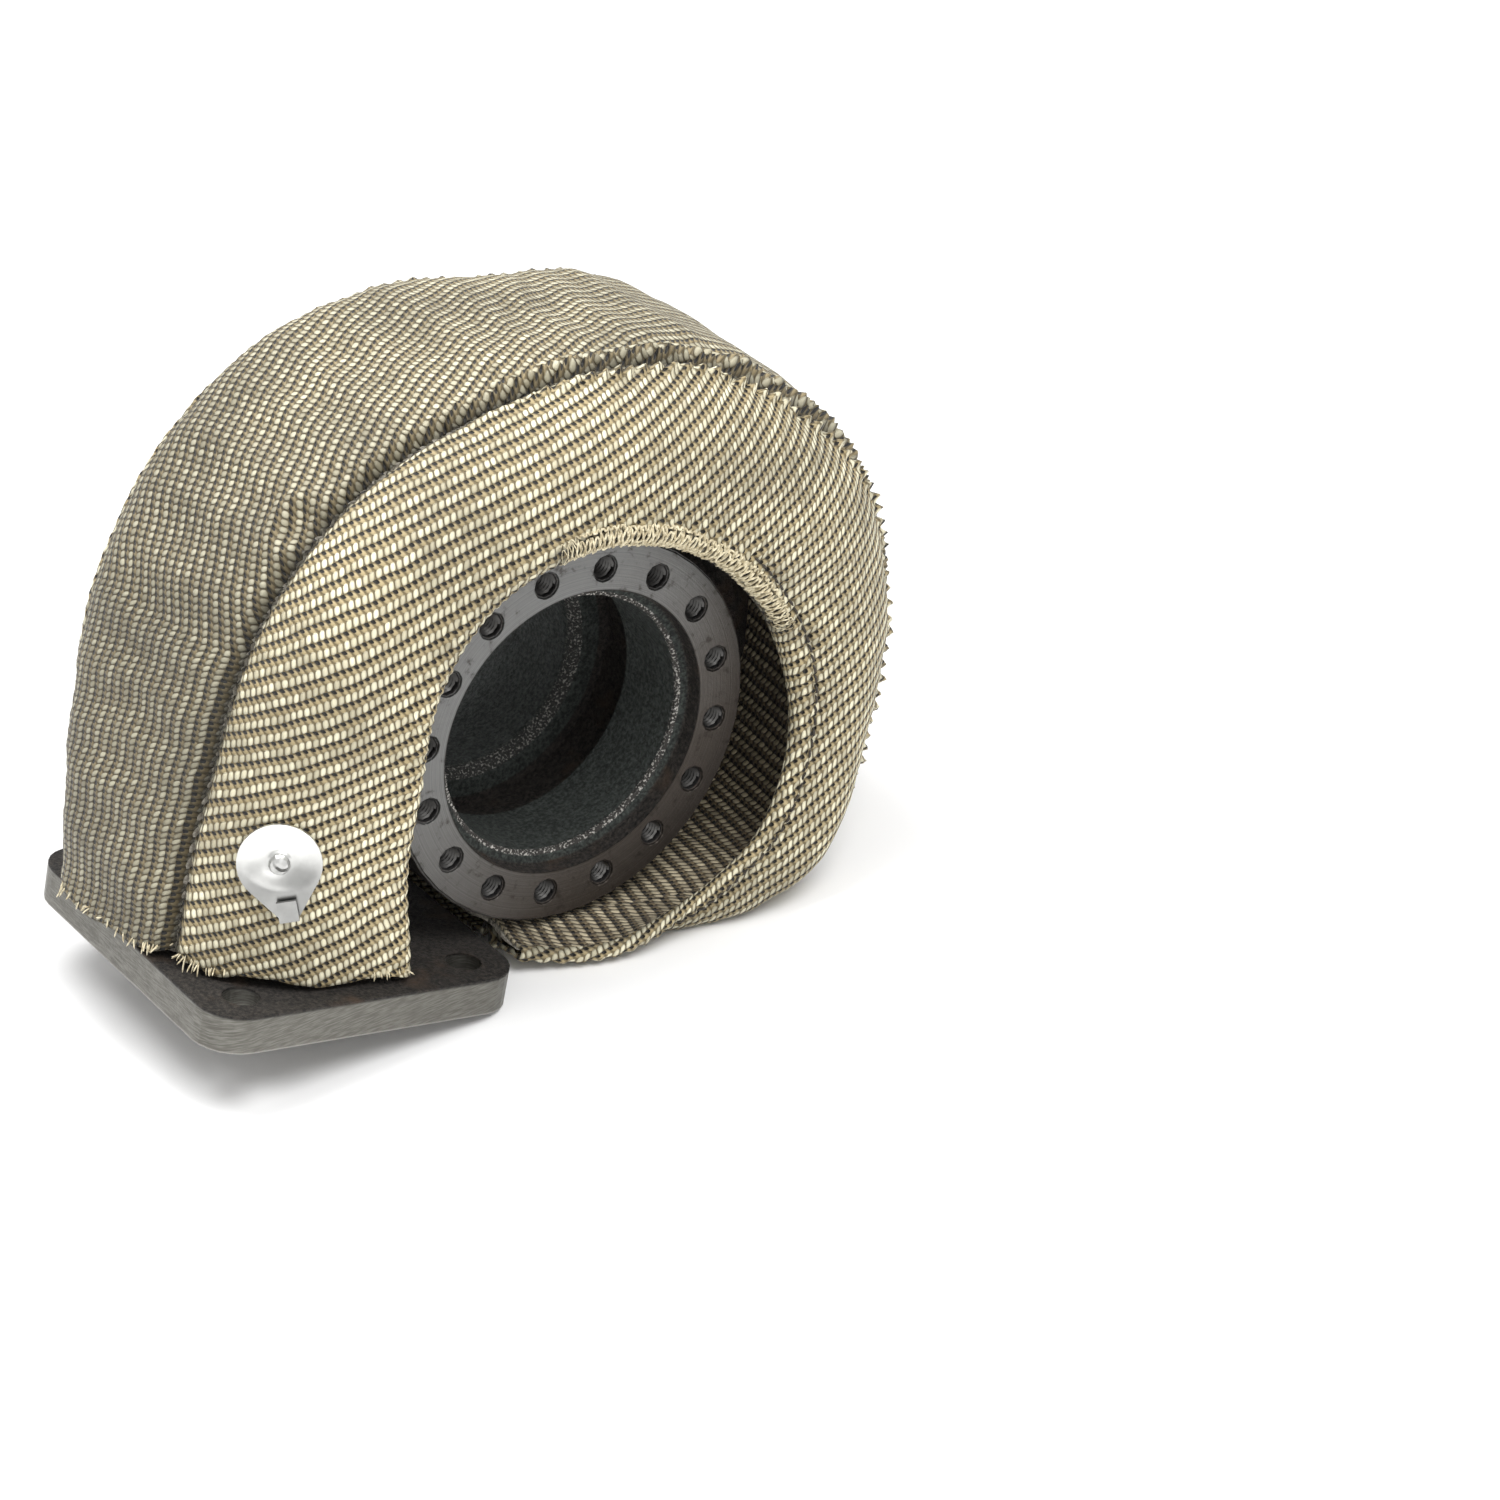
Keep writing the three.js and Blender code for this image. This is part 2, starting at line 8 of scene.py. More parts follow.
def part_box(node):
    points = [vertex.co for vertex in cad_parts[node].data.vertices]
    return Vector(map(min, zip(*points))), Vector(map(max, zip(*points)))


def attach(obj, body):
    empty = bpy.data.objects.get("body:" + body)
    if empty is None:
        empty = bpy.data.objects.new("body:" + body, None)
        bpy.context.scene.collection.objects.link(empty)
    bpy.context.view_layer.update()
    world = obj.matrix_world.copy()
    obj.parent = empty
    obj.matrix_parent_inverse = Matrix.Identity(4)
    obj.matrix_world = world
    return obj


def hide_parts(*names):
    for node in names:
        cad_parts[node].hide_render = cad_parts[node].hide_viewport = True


# Looks of the turbo heat blanket on its turbine housing, in metres in the row frame.
# Shapes are worked out in millimetres in the object frame of the CAD: the turbine axis is Y,
# the ring face is y = 0 and +Z is square to the foot flange.
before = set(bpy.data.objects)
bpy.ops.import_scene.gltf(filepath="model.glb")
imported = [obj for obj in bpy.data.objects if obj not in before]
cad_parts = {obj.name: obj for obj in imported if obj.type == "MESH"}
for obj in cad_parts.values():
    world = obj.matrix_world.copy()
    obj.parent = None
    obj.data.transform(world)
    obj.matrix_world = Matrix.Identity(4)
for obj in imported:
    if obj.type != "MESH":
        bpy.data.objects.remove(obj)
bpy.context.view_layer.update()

TILT = math.radians(13.6)
ORIGIN = (9.06, -46.29, 68.7)
GROUND_DROP = 68.7
rng = np.random.default_rng(7)


def to_row(points):
    """Object frame in millimetres to the row frame in metres."""
    p = np.asarray(points, float)
    c, s = math.cos(TILT), math.sin(TILT)
    x = p[..., 0] * c + p[..., 2] * s + ORIGIN[0]
    z = -p[..., 0] * s + p[..., 2] * c + ORIGIN[2]
    return np.stack([x, p[..., 1] + ORIGIN[1], z], -1) * 0.001


# Camera at the photograph's viewing angle, placed from the ring's centre in millimetres
CAMERA_OFFSET = (-470.05, -709.26, 492.36)
CAMERA_LOOK = (0.5175, 0.6903, -0.5056)
CAMERA_LENS = 83.524
camera = bpy.data.objects.new("camera", bpy.data.cameras.new("camera"))
bpy.context.scene.collection.objects.link(camera)
bpy.context.scene.camera = camera
camera.data.sensor_width = 36
camera.data.lens = CAMERA_LENS
camera.data.clip_start = 0.01
look = Vector(CAMERA_LOOK).normalized()
right = look.cross(Vector((0, 0, 1))).normalized()
above = right.cross(look)
turn_matrix = Matrix((right, above, -look)).transposed()
camera_place = Vector([(a + b) / 1000 for a, b in zip(ORIGIN, CAMERA_OFFSET)])
camera.matrix_world = Matrix.Translation(camera_place) @ turn_matrix.to_4x4()

# The blanket's outside at stations of its sweep, as in the CAD: turn, hem, seam, rear seam,
# rear hem (distance outside the ring edge and depth each), bulge and belly
STATIONS = np.array([
    (-62, -2.4, -14, 55.6, 14, 59.6, 68, -2.9, 82, 10, 5),
    (-30, 3.6, -13.6, 54.6, 14, 62.1, 72, 2.1, 88, 9, 5),
    (0, 4.3, -13.4, 51.4, 14, 59.4, 77, 4.1, 96, 9, 4),
    (45, 10.4, -13.4, 46.1, 15, 55.8, 84, 7.1, 99, 7, 3),
    (67, 10.1, -13.4, 44.1, 14, 51.6, 87, 7.1, 99, 6, 3),
    (90, 9, -13.4, 47.6, 12, 47.1, 88, 7.1, 99, 6, 4),
    (105, 8.1, -13.6, 52.6, 8, 53.1, 86, 7.1, 99, 6, 5),
    (120, 8.1, -14, 54.3, 4, 56.1, 86, 7.1, 99, 7, 4),
    (135, 8.6, -15, 56.1, 0, 57.6, 85, 7.1, 98, 8, 5),
    (150, 10.1, -16, 54.8, -1, 55.1, 84, 7.1, 98, 8, 6),
    (180, 12.1, -18, 43.6, -9, 44.1, 82, 7.1, 97, 8, 3),
    (205, 10.1, -21, 39.1, -10, 36.1, 80, 5.1, 96, 10, 1),
    (220, 6.1, -22, 26.6, -10, 25.1, 80, 4.1, 94, 8.5, 0),
    (238, 6.1, -20.6, 14.2, -4, 14.1, 80, 4.1, 92, 3.5, 0),
    (256, 8.1, -16, 9.8, 5, 9.8, 76, 7.1, 92, 0.4, 0),
    (278, 10.6, -4, 11.6, 12, 11.6, 76, 9.1, 92, 0.3, 0),
], float)
RING_RADIUS = 58.9
STATIONS[:, [1, 3, 5, 7]] += RING_RADIUS

# Thickness of the sandwich, and what is left of it at the hems
THICKNESS = np.array([
    (-62, 11.5, 10), (-20, 12.8, 11), (150, 12.8, 11), (190, 9.5, 7),
    (215, 6.5, 5), (240, 6.5, 5), (278, 8, 5)], float)
OUTER_CLOTH = 1.2
LINING = 1.0
HEM = 0.0
FRONT_SEAM = 1 / 3
MIDDLE = 0.5
REAR_SEAM = 2 / 3
SEAM_SHARE = 0.15 / 160
FIRST_TURN = STATIONS[0, 0]
LAST_TURN = STATIONS[-1, 0]
SWEEP_RADIUS = 95
ROLL_STEPS = 18
ROLL_DEGREES = 178


def along(turn):
    turn = np.asarray(turn, float)
    return np.where(turn < 0, turn, turn * 1.8)


def smooth(table, turn):
    """Every column of a station table at these turns, by the CAD's cubic."""
    k = along(table[:, 0])
    v = table[:, 1:]
    slope = np.empty_like(v)
    slope[0] = (v[1] - v[0]) / (k[1] - k[0])
    slope[-1] = (v[-1] - v[-2]) / (k[-1] - k[-2])
    slope[1:-1] = (v[2:] - v[:-2]) / (k[2:] - k[:-2])[:, None]
    x = along(turn)
    i = np.clip(np.searchsorted(k, x, side="left") - 1, 0, len(k) - 2)
    step = k[i + 1] - k[i]
    u = ((x - k[i]) / step)[:, None]
    rise = v[i + 1] - v[i]
    a = slope[i] * step[:, None] - rise
    b = rise - slope[i + 1] * step[:, None]
    return v[i] + u * rise + u * (1 - u) * (a * (1 - u) + b * u)


def outline_points(turn):
    """The seven points of each section, in distance from the axis and depth."""
    s = smooth(STATIONS, turn)
    hem, seam, rear_seam, rear = s[:, 0:2], s[:, 2:4], s[:, 4:6], s[:, 6:8]
    bulge, belly = s[:, 8:9], s[:, 9:10]

    def out(a, b, rise):
        chord = b - a
        side = np.stack([chord[:, 1], -chord[:, 0]], -1)
        side /= np.linalg.norm(side, axis=1, keepdims=True)
        return (a + b) / 2 + side * rise

    return np.stack([hem, out(hem, seam, bulge), seam, out(seam, rear_seam, belly), rear_seam,
                     out(rear_seam, rear, bulge * 0.6), rear], 1)


def spline(points, share):
    """Centripetal spline through the points of each row, at these shares of its length."""
    last = points.shape[1] - 1
    padded = np.concatenate([2 * points[:, :1] - points[:, 1:2], points,
                             2 * points[:, -1:] - points[:, -2:-1]], 1)
    at = np.clip(share, 0, 1) * last
    i = np.minimum(at.astype(int), last - 1)
    w = (at - i)[None, :, None]
    p0, p1, p2, p3 = (padded[:, i + n] for n in range(4))

    def gap(a, b):
        return np.maximum(np.sum((a - b) ** 2, -1, keepdims=True) ** 0.25, 1e-4)

    d0, d1, d2 = gap(p0, p1), gap(p1, p2), gap(p2, p3)
    t1 = ((p1 - p0) / d0 - (p2 - p0) / (d0 + d1) + (p2 - p1) / d1) * d1
    t2 = ((p2 - p1) / d1 - (p3 - p1) / (d1 + d2) + (p3 - p2) / d2) * d1
    return p1 + t1 * w + (-3 * p1 + 3 * p2 - 2 * t1 - t2) * w**2 + (2 * p1 - 2 * p2 + t1 + t2) * w**3


def outside(turn, share):
    """Points of the outside, rows of turns by columns of shares."""
    turn = np.asarray(turn, float)
    p = spline(outline_points(turn), np.asarray(share, float))
    angle = math.pi - np.radians(np.maximum(turn, 0))[:, None]
    x = p[..., 0] * np.cos(angle)
    z = p[..., 0] * np.sin(angle) + np.minimum(turn, 0)[:, None]
    below = -x * math.sin(TILT) + z * math.cos(TILT) + GROUND_DROP
    lift = np.maximum(0, -below)
    return np.stack([x - lift * math.sin(TILT), p[..., 1], z + lift * math.cos(TILT)], -1)


def unit(v):
    return v / np.maximum(np.linalg.norm(v, axis=-1, keepdims=True), 1e-9)


def frame_at(turn, share):
    """Point, direction across and outward normal, all per row and column."""
    turn = np.asarray(turn, float)
    share = np.asarray(share, float)
    d = 0.06
    here = outside(turn, share)
    across = unit(outside(turn, np.minimum(share + d, 1)) - outside(turn, np.maximum(share - d, 0)))
    sweep = (outside(np.minimum(turn + 0.5, LAST_TURN), share)
             - outside(np.maximum(turn - 0.5, FIRST_TURN), share))
    return here, across, unit(np.cross(sweep, across))


def thick_at(turn, share):
    t = smooth(THICKNESS, turn)
    inward = np.clip(np.minimum(share, 1 - share) / (FRONT_SEAM * 0.9), 0, 1)
    ease = inward * inward * (3 - 2 * inward)
    return t[:, 1:2] + (t[:, 0:1] - t[:, 1:2]) * ease[None, :]


def pinch(turn, share):
    """How deep the stitched seams pull the cloth in."""
    here = outside(turn, share)
    total = 0
    for seam in (FRONT_SEAM, REAR_SEAM):
        gap = np.linalg.norm(here - outside(turn, np.array([seam])), axis=-1)
        total = total + 2.2 * np.exp(-((gap / 7) ** 2))
    return total


def noise(x, y, seed):
    """Smooth value noise from -1 to 1."""
    table = np.random.default_rng(seed).uniform(-1, 1, (64, 64))
    i, j = np.floor(x).astype(int), np.floor(y).astype(int)
    u, v = x - i, y - j
    u, v = u * u * (3 - 2 * u), v * v * (3 - 2 * v)

    def at(a, b):
        return table[a % 64, b % 64]

    return ((at(i, j) * (1 - u) + at(i + 1, j) * u) * (1 - v)
            + (at(i, j + 1) * (1 - u) + at(i + 1, j + 1) * u) * v)


def step_between(x, low, high):
    t = np.clip((x - low) / (high - low), 0, 1)
    return t * t * (3 - 2 * t)


def make_mesh(name, verts, faces, material, attributes=None):
    """A shaded mesh piece in the row frame, from points in the object frame."""
    mesh = bpy.data.meshes.new(name)
    co = to_row(verts)
    mesh.vertices.add(len(co))
    mesh.vertices.foreach_set("co", co.ravel())
    faces = np.asarray(faces)
    size = faces.shape[1]
    mesh.loops.add(faces.size)
    mesh.loops.foreach_set("vertex_index", faces.ravel().astype(np.int32))
    mesh.polygons.add(len(faces))
    mesh.polygons.foreach_set("loop_start", np.arange(0, faces.size, size, dtype=np.int32))
    mesh.polygons.foreach_set("use_smooth", np.ones(len(faces), bool))
    mesh.update(calc_edges=True)
    for key, value in (attributes or {}).items():
        value = np.asarray(value, np.float32)
        if value.ndim == 2:
            mesh.attributes.new(key, "FLOAT_VECTOR", "POINT").data.foreach_set("vector", value.ravel())
        else:
            mesh.attributes.new(key, "FLOAT", "POINT").data.foreach_set("value", value.ravel())
    mesh.materials.append(material)
    piece = bpy.data.objects.new(name, mesh)
    bpy.context.scene.collection.objects.link(piece)
    return piece


def grid_faces(rows, columns, first=0):
    i = np.arange(rows - 1)[:, None] * columns + np.arange(columns - 1)[None, :] + first
    return np.stack([i, i + 1, i + columns + 1, i + columns], -1).reshape(-1, 4)


def sweep_turns(step):
    """Turns about `step` millimetres apart along the sweep."""
    leg = np.linspace(FIRST_TURN, 0, max(2, int(-FIRST_TURN / step)), endpoint=False)
    count = int(math.radians(LAST_TURN) * SWEEP_RADIUS / step)
    return np.concatenate([leg, np.linspace(0, LAST_TURN, count)])


# Tapped holes of the ring
HOLES = 16
BOLT_CIRCLE = 50
THREAD_RADIUS = 3.36
THREAD_DEPTH = 0.6
THREAD_START = 0.7
PITCH = 1.25


# Node trees of the materials, written as formulas
class Tree:
    """A material's node tree; most methods return the output socket of a new node."""

    def __init__(self, name):
        self.material = bpy.data.materials.new(name)
        self.material.use_nodes = True
        self.tree = self.material.node_tree
        self.shader = next(n for n in self.tree.nodes if n.type == "BSDF_PRINCIPLED")

    def link(self, value, socket):
        if isinstance(value, bpy.types.NodeSocket):
            self.tree.links.new(value, socket)
        elif value is not None:
            socket.default_value = value

    def new(self, kind, **settings):
        node = self.tree.nodes.new(kind)
        for key, value in settings.items():
            setattr(node, key, value)
        return node

    def math(self, operation, a, b=None, c=None, clamp=False):
        node = self.new("ShaderNodeMath", operation=operation, use_clamp=clamp)
        for value, socket in zip((a, b, c), node.inputs):
            self.link(value, socket)
        return node.outputs[0]

    def hypot(self, a, b):
        squares = self.math("ADD", self.math("MULTIPLY", a, a), self.math("MULTIPLY", b, b))
        return self.math("SQRT", squares)

    def vector(self, operation, a, b=None):
        node = self.new("ShaderNodeVectorMath", operation=operation)
        for value, socket in zip((a, b), node.inputs):
            self.link(value, socket)
        return node.outputs[0]

    def split(self, vector):
        node = self.new("ShaderNodeSeparateXYZ")
        self.link(vector, node.inputs[0])
        return node.outputs

    def combine(self, x, y, z=0.0):
        node = self.new("ShaderNodeCombineXYZ")
        for value, socket in zip((x, y, z), node.inputs):
            self.link(value, socket)
        return node.outputs[0]

    def attribute(self, name, output="Vector"):
        return self.new("ShaderNodeAttribute", attribute_name=name).outputs[output]

    def noise(self, vector, scale, detail=2.0, rough=0.5):
        node = self.new("ShaderNodeTexNoise")
        self.link(vector, node.inputs["Vector"])
        node.inputs["Scale"].default_value = scale
        node.inputs["Detail"].default_value = detail
        node.inputs["Roughness"].default_value = rough
        return node.outputs

    def remap(self, value, low, high, to_low=0.0, to_high=1.0):
        node = self.new("ShaderNodeMapRange", interpolation_type="SMOOTHSTEP")
        self.link(value, node.inputs[0])
        for n, x in enumerate((low, high, to_low, to_high)):
            node.inputs[n + 1].default_value = x
        return node.outputs[0]

    def mix(self, factor, a, b):
        node = self.new("ShaderNodeMix", data_type="RGBA")
        self.link(factor, node.inputs[0])
        self.link(a, node.inputs[6])
        self.link(b, node.inputs[7])
        return node.outputs[2]

    def bump(self, height, distance, strength=1.0, below=None):
        node = self.new("ShaderNodeBump")
        self.link(height, node.inputs["Height"])
        node.inputs["Distance"].default_value = distance
        node.inputs["Strength"].default_value = strength
        self.link(below, node.inputs["Normal"])
        return node.outputs[0]

    def set(self, **values):
        for key, value in values.items():
            self.link(value, self.shader.inputs[key.replace("_", " ")])


def rgb(r, g, b):
    return (r, g, b, 1.0)


SQUARENESS = 2.6


def woven(name, thread, tan, bright_and_glint, hole, relief):
    """Satin weave of floats: a bright one, a tan one beside it and a pinhole in each cell."""
    t = Tree(name)
    place = t.new("ShaderNodeTexCoord").outputs["Object"]
    wobble = t.noise(place, 140, 1.0)["Color"]
    cell = t.vector("ADD", t.attribute("weave"),
                    t.vector("MULTIPLY", t.vector("SUBTRACT", wobble, (0.5, 0.5, 0.5)), (0.5, 0.22, 0)))
    u, v, _ = t.split(cell)
    row = t.math("FLOOR", t.math("ADD", v, 0.25))
    v = t.math("SUBTRACT", v, row)
    u = t.math("MULTIPLY_ADD", row, 0.517, u)

    def oval(at_u, at_v, half_u, half_v, lean):
        slanted = t.math("MULTIPLY_ADD", v, -lean, u)
        du = t.math("SUBTRACT", t.math("FRACT", t.math("ADD", slanted, 0.5 - at_u + lean * at_v)), 0.5)
        dv = t.math("SUBTRACT", v, at_v)
        a = t.math("POWER", t.math("ABSOLUTE", t.math("DIVIDE", du, half_u)), SQUARENESS)
        b = t.math("POWER", t.math("ABSOLUTE", t.math("DIVIDE", dv, half_v)), SQUARENESS)
        return t.math("SUBTRACT", 1.0, t.math("ADD", a, b), clamp=True)

    float_a = oval(0.0, 0.0, 0.47, 0.29, 0.95)
    float_b = oval(0.02, 0.43, 0.42, 0.24, -0.5)
    pin = oval(0.62, 0.67, 0.33, 0.22, -0.7)
    pick = t.new("ShaderNodeTexWhiteNoise", noise_dimensions="2D")
    t.link(t.combine(t.math("FLOOR", t.math("ADD", u, 0.5)), row), pick.inputs["Vector"])
    vary = t.math("MULTIPLY_ADD", pick.outputs["Value"], 0.55, 0.45)
    blotch = t.remap(t.noise(place, 28, 2.0)[0], 0.3, 0.7, 0.78, 1.1)
    # The mesh's shade attribute darkens the cloth where shade is painted: seam creases, the hem's roll,
    # raw ends and parts of the front and band
    shade = t.attribute("shade", "Fac")
    colour = t.mix(t.remap(float_b, 0.0, 0.6), thread, tan)
    # Bright floats: the yarn's own lighter colour, brightened further as a painted glint
    colour = t.mix(t.math("MULTIPLY", t.remap(float_a, 0.0, 0.6), vary), colour, bright_and_glint)
    # Pinholes near black: painted shade in the holes of the weave
    colour = t.mix(t.remap(pin, 0.0, 0.5), colour, hole)
    tone = t.math("MULTIPLY", shade, blotch)
    colour = t.vector("MULTIPLY", colour, t.combine(tone, tone, tone))
    height = t.math("ADD", t.math("SQRT", float_a), t.math("MULTIPLY", t.math("SQRT", float_b), 0.7))
    height = t.math("SUBTRACT", height, t.math("MULTIPLY", pin, 1.1))
    fibre = t.noise(place, 2600, 2.0)
    fuzz = t.bump(fibre[0], 0.0002, 0.5)
    t.set(Base_Color=colour, Normal=t.bump(height, relief, 1.0, fuzz))
    t.set(Roughness=0.62, Metallic=0.0)
    t.shader.inputs["Sheen Weight"].default_value = 0.08
    t.shader.inputs["Sheen Roughness"].default_value = 0.4
    return t.material


def needled():
    t = Tree("needled_mat")
    place = t.new("ShaderNodeTexCoord").outputs["Object"]
    fibre = t.noise(place, 900, 4.0, 0.7)
    colour = t.mix(t.remap(fibre[0], 0.35, 0.65), rgb(0.30, 0.27, 0.22), rgb(0.62, 0.58, 0.5))
    t.set(Base_Color=colour, Normal=t.bump(fibre[0], 0.0012), Roughness=0.95)
    return t.material


def steel(name, colour, rough):
    t = Tree(name)
    place = t.new("ShaderNodeTexCoord").outputs["Object"]
    streak = t.noise(t.vector("MULTIPLY", place, (1.0, 1.0, 0.08)), 2600, 3.0)
    smear = t.noise(place, 70, 2.0)
    t.set(Base_Color=colour, Metallic=1.0,
          Roughness=t.math("ADD", t.remap(smear[0], 0.3, 0.7, rough * 0.7, rough * 1.3),
                           t.math("MULTIPLY", streak[0], 0.08)),
          Normal=t.bump(streak[0], 0.00004, 0.4))
    return t.material


def iron():
    """Casting whose machined faces are found from their place in the object frame."""
    t = Tree("cast_iron")
    place = t.new("ShaderNodeTexCoord").outputs["Object"]
    spin = t.new("ShaderNodeVectorRotate", rotation_type="Y_AXIS")
    t.link(t.vector("SUBTRACT", place, tuple(v / 1000 for v in ORIGIN)), spin.inputs["Vector"])
    spin.inputs["Angle"].default_value = -TILT
    x, y, z = t.split(spin.outputs[0])
    radius = t.hypot(x, z)

    def between(value, low, high, soft=0.0002):
        return t.math("MULTIPLY", t.remap(value, low - soft, low + soft),
                      t.remap(value, high - soft, high + soft, 1.0, 0.0))

    ring = t.math("MULTIPLY", between(radius, 0.0436, 0.0592), t.remap(y, 0.0004, 0.0007, 1.0, 0.0))
    # Where glints are painted: the register edge, and weaker on the shroud lip
    edge = t.math("MULTIPLY", between(radius, 0.0392, 0.0408), between(y, 0.0046, 0.0072))
    lip = t.math("MULTIPLY", between(radius, 0.0335, 0.0372), between(y, 0.0490, 0.0540, 0.001))
    rim = t.math("MAXIMUM", edge, t.math("MULTIPLY", lip, 0.6))
    hole_step = 2 * math.pi / HOLES
    hole = t.math("ROUND", t.math("DIVIDE", t.math("ARCTAN2", z, x), hole_step))
    nearest = t.math("MULTIPLY", hole, hole_step)
    off_x = t.math("SUBTRACT", x, t.math("MULTIPLY", t.math("COSINE", nearest), BOLT_CIRCLE / 1000))
    off_z = t.math("SUBTRACT", z, t.math("MULTIPLY", t.math("SINE", nearest), BOLT_CIRCLE / 1000))
    from_hole = t.hypot(off_x, off_z)
    on_ring = t.remap(y, 0.012, 0.014, 1.0, 0.0)
    countersink = t.math("MULTIPLY", t.remap(from_hole, 0.00335, 0.00415, 1.0, 0.0), on_ring)
    hole_shade = t.math("MULTIPLY", t.remap(from_hole, 0.0034, 0.0037, 1.0, 0.0), on_ring)
    bore = t.math("MULTIPLY", t.remap(radius, 0.0425, 0.0432, 1.0, 0.0), t.remap(y, 0.003, 0.006))
    foot = t.remap(z, -0.0650, -0.0642, 1.0, 0.0)
    foot_edge_highlight = t.remap(z, -0.0747, -0.0744, 1.0, 0.0)
    grain = t.noise(place, 900, 5.0, 0.65)[0]
    pits = t.noise(place, 260, 4.0, 0.6)[0]
    stain = t.noise(place, 60, 3.0, 0.6)[0]
    rings = t.noise(t.combine(t.math("MULTIPLY", radius, 2400.0), 0.0), 1.0, 2.0)[0]
    scratch = t.noise(t.vector("MULTIPLY", place, (0.25, 0.25, 3.0)), 900, 3.0)[0]
    glint_specks = t.remap(t.noise(place, 1500, 2.0)[0], 0.52, 0.66)

    cast = t.mix(t.remap(grain, 0.35, 0.7), rgb(0.012, 0.011, 0.010), rgb(0.060, 0.052, 0.045))
    cast = t.mix(t.remap(stain, 0.52, 0.75), cast, rgb(0.075, 0.050, 0.034))
    inside = t.mix(t.remap(grain, 0.35, 0.7), rgb(0.016, 0.019, 0.017), rgb(0.080, 0.092, 0.084))
    cast = t.mix(bore, cast, inside)
    # Painted light and shade on the ring face: the lit colour at upper left fades to the shaded colour
    # at lower right, its border made uneven by the stain noise
    slope = t.math("SUBTRACT", x, t.math("MULTIPLY", z, 0.9))
    face_shading = t.remap(t.math("MULTIPLY_ADD", t.math("SUBTRACT", stain, 0.5), 0.03, slope), -0.055, 0.060)
    face_lit = t.mix(t.remap(rings, 0.3, 0.7), rgb(0.135, 0.135, 0.132), rgb(0.185, 0.185, 0.18))
    face_shaded = t.mix(t.remap(rings, 0.3, 0.7), rgb(0.052, 0.043, 0.036), rgb(0.078, 0.067, 0.058))
    face = t.mix(face_shading, face_lit, face_shaded)
    face = t.mix(t.remap(pits, 0.55, 0.72, 0.0, 0.7), face, rgb(0.028, 0.021, 0.017))
    side = t.mix(t.remap(scratch, 0.35, 0.7), rgb(0.12, 0.115, 0.10), rgb(0.20, 0.195, 0.175))
    # Painted highlight: lighter along the foot's lowest edge
    side = t.mix(foot_edge_highlight, side, rgb(0.30, 0.29, 0.27))
    colour = t.mix(foot, cast, side)
    colour = t.mix(ring, colour, face)
    # Painted shade: near black inside the tapped holes
    colour = t.mix(hole_shade, colour, rgb(0.006, 0.005, 0.005))
    # Painted glints: bright specks on these rims
    colour = t.mix(rim, colour, t.mix(glint_specks, rgb(0.05, 0.047, 0.043), rgb(0.60, 0.58, 0.54)))
    machined = t.math("MAXIMUM", ring, foot)
    rough = t.math("MULTIPLY_ADD", machined, -0.22, 0.68)
    rough = t.math("ADD", rough, t.math("MULTIPLY", t.math("SUBTRACT", pits, 0.5), 0.3))
    height = t.math("MULTIPLY", grain, t.math("MULTIPLY_ADD", machined, -0.85, 1.0))
    height = t.math("ADD", height, t.math("MULTIPLY", t.math("MULTIPLY", rings, ring), 0.12))
    height = t.math("SUBTRACT", height, t.math("MULTIPLY", countersink, 0.8))
    t.set(Base_Color=colour, Metallic=t.math("MULTIPLY_ADD", machined, 0.35, 0.45),
          Roughness=rough, Normal=t.bump(height, 0.0011))
    return t.material


def dished(disc_box):
    """Stamped steel of the lacing discs: a rivet dome, a hollow and a rim that turns up."""
    t = Tree("stainless")
    place = t.new("ShaderNodeTexCoord").outputs["Object"]
    x, _, z = t.split(place)
    low, high = disc_box
    centre_x = (low[0] + high[0]) / 2
    radius_out = (high[0] - low[0]) / 2
    centre_z = high[2] - radius_out
    dx = t.math("SUBTRACT", x, centre_x)
    dz = t.math("SUBTRACT", z, centre_z)
    away = t.hypot(dx, dz)
    dome = t.remap(away, radius_out * 0.16, radius_out * 0.28, 1.0, 0.0)
    rim = t.remap(away, radius_out * 0.3, radius_out * 1.02)
    streak = t.noise(t.vector("MULTIPLY", place, (1.0, 1.0, 0.08)), 2600, 3.0)
    # Painted light and shade: the disc's colour is lighter at the top and darker at the bottom
    painted_falloff = t.remap(dz, -radius_out * 0.9, radius_out * 0.7, 0.34, 0.80)
    smear = t.noise(place, 160, 3.0)
    tone = t.math("MULTIPLY", painted_falloff, t.remap(smear[0], 0.3, 0.7, 0.86, 1.05))
    height = t.math("ADD", t.math("MULTIPLY", dome, 0.7), t.math("MULTIPLY", rim, 1.6))
    t.set(Base_Color=t.combine(tone, tone, t.math("MULTIPLY", tone, 0.97)), Metallic=1.0, Roughness=0.3,
          Normal=t.bump(height, 0.0011, 1.0, t.bump(streak[0], 0.00004, 0.3)))
    return t.material


def yarn_material(name, low, high):
    t = Tree(name)
    place = t.new("ShaderNodeTexCoord").outputs["Object"]
    fibre = t.noise(place, 900, 2.0)
    colour = t.mix(t.remap(fibre[0], 0.3, 0.7), low, high)
    t.set(Base_Color=colour, Normal=t.bump(fibre[0], 0.0001), Roughness=0.6)
    return t.material


cloth = woven("woven_cloth", rgb(0.20, 0.155, 0.075), rgb(0.44, 0.35, 0.19),
              rgb(0.98, 0.92, 0.68), rgb(0.008, 0.006, 0.003), 0.0009)
